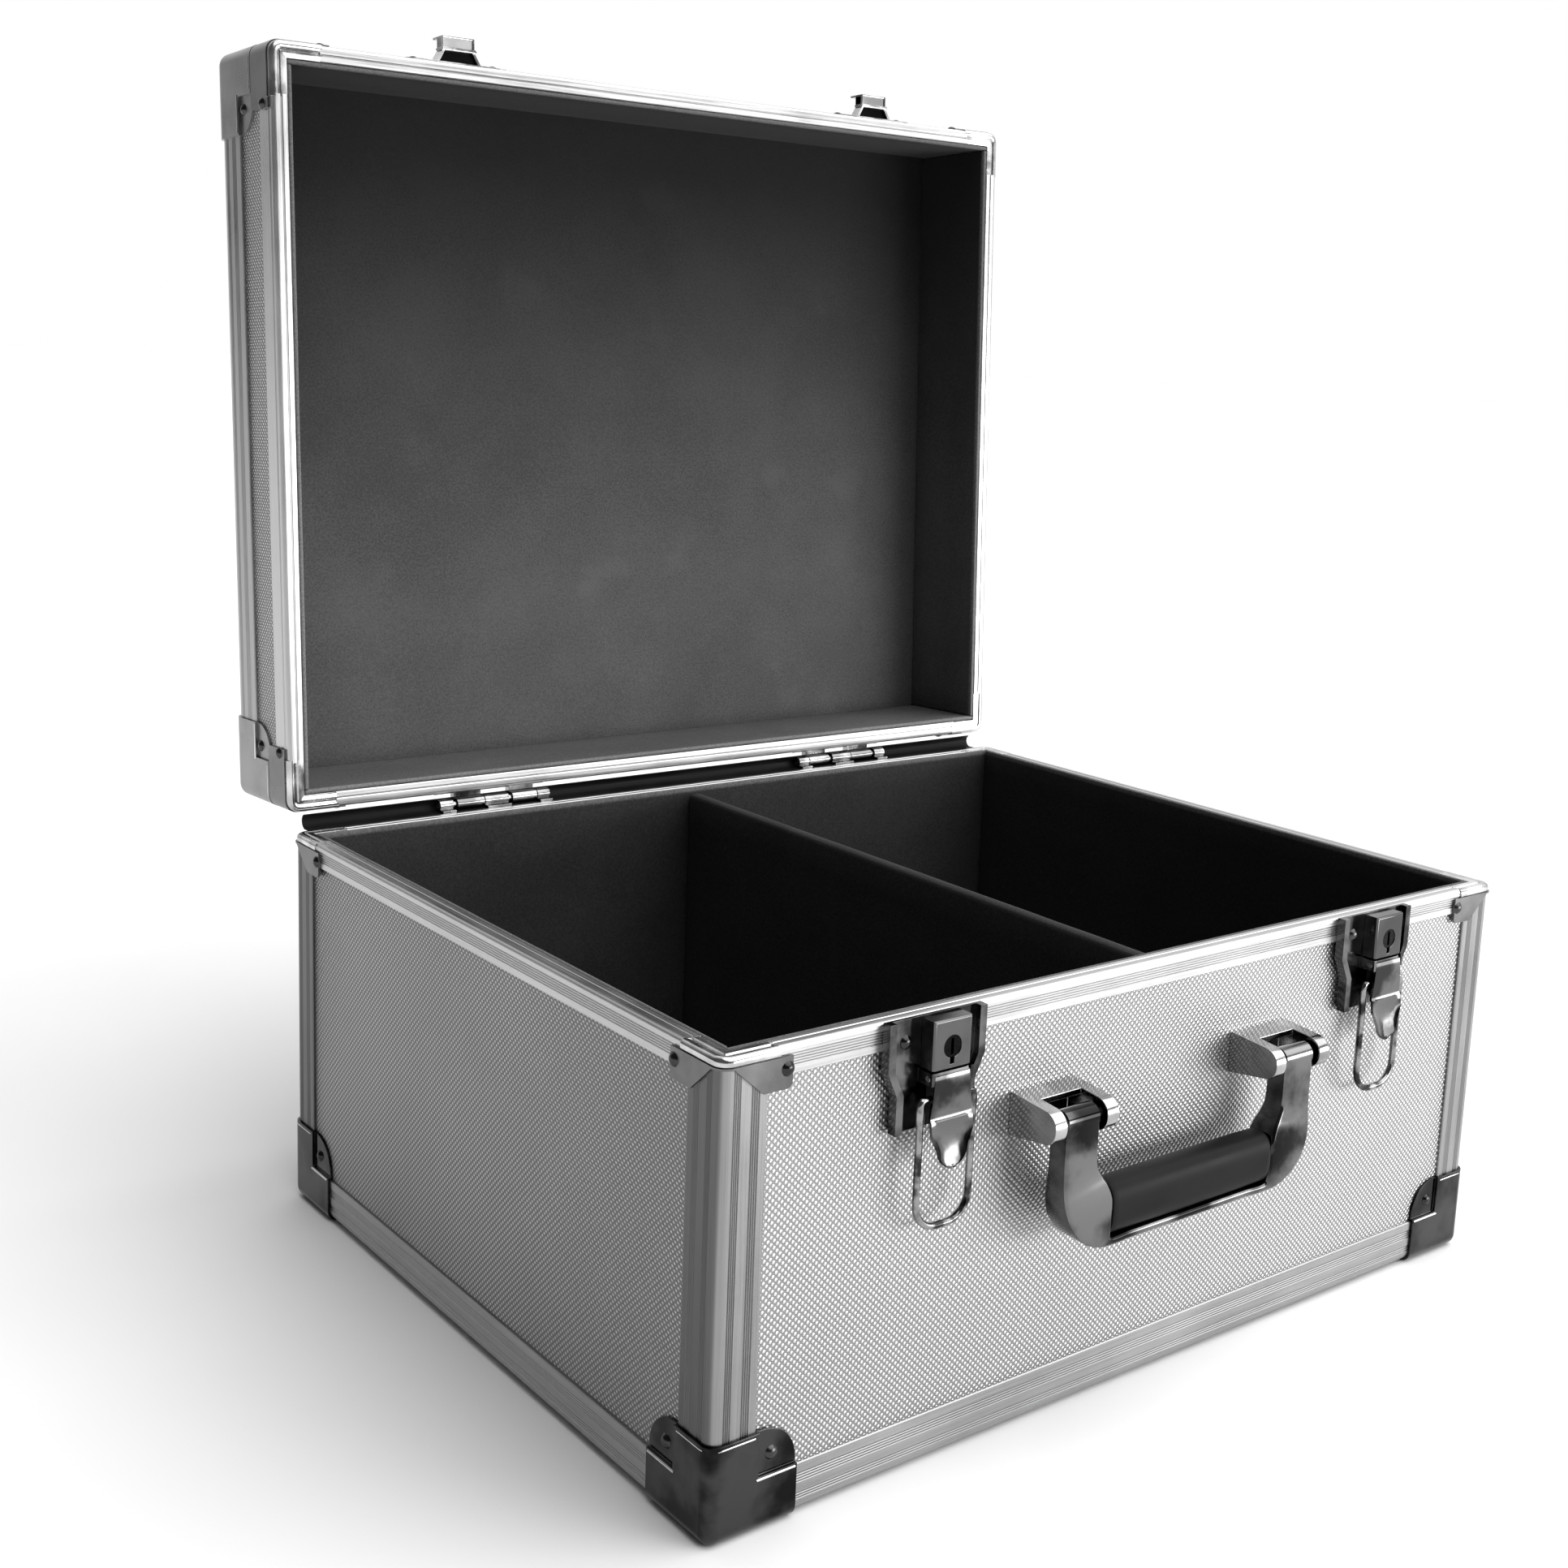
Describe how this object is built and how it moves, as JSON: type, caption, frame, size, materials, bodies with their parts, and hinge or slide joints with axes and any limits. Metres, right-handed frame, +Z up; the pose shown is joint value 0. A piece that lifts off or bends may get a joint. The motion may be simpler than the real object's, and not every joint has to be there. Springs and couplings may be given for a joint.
{
  "type": "hinged carrying case",
  "caption": "Aluminum-framed attache case with a dimpled body, metal corner caps, two draw latches, a drop handle, a hinged lid and a divided black interior.",
  "frame": {"origin": "centre of the footprint of the base, on the surface that the case stands on", "axes": "+X to the right seen from the front, +Y to the hinges at the back, +Z up"},
  "size_m": [0.4028, 0.4179, 0.5011],
  "materials": {
    "dimpled_panel": "bright dimpled sheet over board",
    "satin_extrusion": "satin anodised, fine lengthwise grooves",
    "bright_steel": "bright nickel plate",
    "steel_pin": "bright drawn wire",
    "lock_brass": "dark plated",
    "black_grip": "moulded, slightly soft",
    "black_lining": "short felt on board"
  },
  "bodies": {
    "base": {"base_front_panel": "dimpled_panel", "base_back_panel": "dimpled_panel", "base_left_panel": "dimpled_panel", "base_right_panel": "dimpled_panel", "base_bottom_panel": "dimpled_panel", "base_floor_lining": "black_lining", "base_wall_lining": "black_lining", "divider": "black_lining", "base_corner_posts": "satin_extrusion", "base_bottom_edge_front": "satin_extrusion", "base_bottom_edge_back": "satin_extrusion", "base_bottom_edge_left": "satin_extrusion", "base_bottom_edge_right": "satin_extrusion", "base_rim_front": "satin_extrusion", "base_rim_back": "satin_extrusion", "base_rim_left": "satin_extrusion", "base_rim_right": "satin_extrusion", "base_rim_corners": "bright_steel", "base_corner_caps": "bright_steel", "hinge_base_leaves": "bright_steel", "latch_plate_left": "bright_steel", "latch_plate_right": "bright_steel", "lock_housing_left": "bright_steel", "lock_housing_right": "bright_steel", "handle_bracket_left": "bright_steel", "handle_bracket_right": "bright_steel", "base_rivets": "bright_steel", "hinge_pins": "steel_pin", "lever_pins": "steel_pin", "handle_pins": "steel_pin"},
    "lid_body": {"lid_front_panel": "dimpled_panel", "lid_back_panel": "dimpled_panel", "lid_left_panel": "dimpled_panel", "lid_right_panel": "dimpled_panel", "lid_top_panel": "dimpled_panel", "lid_top_lining": "black_lining", "lid_wall_lining": "black_lining", "lid_corner_posts": "satin_extrusion", "lid_top_edge_front": "satin_extrusion", "lid_top_edge_back": "satin_extrusion", "lid_top_edge_left": "satin_extrusion", "lid_top_edge_right": "satin_extrusion", "lid_rim_front": "satin_extrusion", "lid_rim_back": "satin_extrusion", "lid_rim_left": "satin_extrusion", "lid_rim_right": "satin_extrusion", "lid_rim_corners": "bright_steel", "lid_corner_caps": "bright_steel", "lid_catches": "bright_steel", "lid_rivets": "bright_steel", "hinge_lid_leaves": "bright_steel"},
    "latch_lever_left_body": {"latch_lever_left": "bright_steel"},
    "latch_lever_right_body": {"latch_lever_right": "bright_steel"},
    "latch_bail_left_body": {"latch_bail_left": "bright_steel"},
    "latch_bail_right_body": {"latch_bail_right": "bright_steel"},
    "lock_cylinder_left_body": {"lock_cylinder_left": "lock_brass"},
    "lock_cylinder_right_body": {"lock_cylinder_right": "lock_brass"},
    "handle_body": {"handle_frame": "bright_steel", "handle_grip": "black_grip"}
  },
  "joints": [
    {"name": "lid", "type": "hinge", "parent": "base", "child": "lid_body", "pos_m": [0, 0.1644, 0.1662], "axis": [-1, 0, 0], "range_deg": [-92.5, 0]},
    {"name": "latch_lever_left", "type": "hinge", "parent": "base", "child": "latch_lever_left_body", "pos_m": [-0.112, -0.165, 0.1438], "axis": [1, 0, 0], "range_deg": [-95, 0]},
    {"name": "latch_bail_left", "type": "hinge", "parent": "latch_lever_left_body", "child": "latch_bail_left_body", "pos_m": [-0.112, -0.165, 0.1366], "axis": [-1, 0, 0], "range_deg": [0, 180]},
    {"name": "lock_cylinder_left", "type": "hinge", "parent": "base", "child": "lock_cylinder_left_body", "pos_m": [-0.112, -0.165, 0.1538], "axis": [0, 1, 0], "range_deg": [0, 90]},
    {"name": "latch_lever_right", "type": "hinge", "parent": "base", "child": "latch_lever_right_body", "pos_m": [0.1196, -0.165, 0.1438], "axis": [1, 0, 0], "range_deg": [-95, 0]},
    {"name": "latch_bail_right", "type": "hinge", "parent": "latch_lever_right_body", "child": "latch_bail_right_body", "pos_m": [0.1196, -0.165, 0.1366], "axis": [-1, 0, 0], "range_deg": [0, 180]},
    {"name": "lock_cylinder_right", "type": "hinge", "parent": "base", "child": "lock_cylinder_right_body", "pos_m": [0.1196, -0.165, 0.1538], "axis": [0, 1, 0], "range_deg": [0, 90]},
    {"name": "handle", "type": "hinge", "parent": "base", "child": "handle_body", "pos_m": [-0.0039, -0.1746, 0.1205], "axis": [-1, 0, 0], "range_deg": [0, 180]}
  ]
}
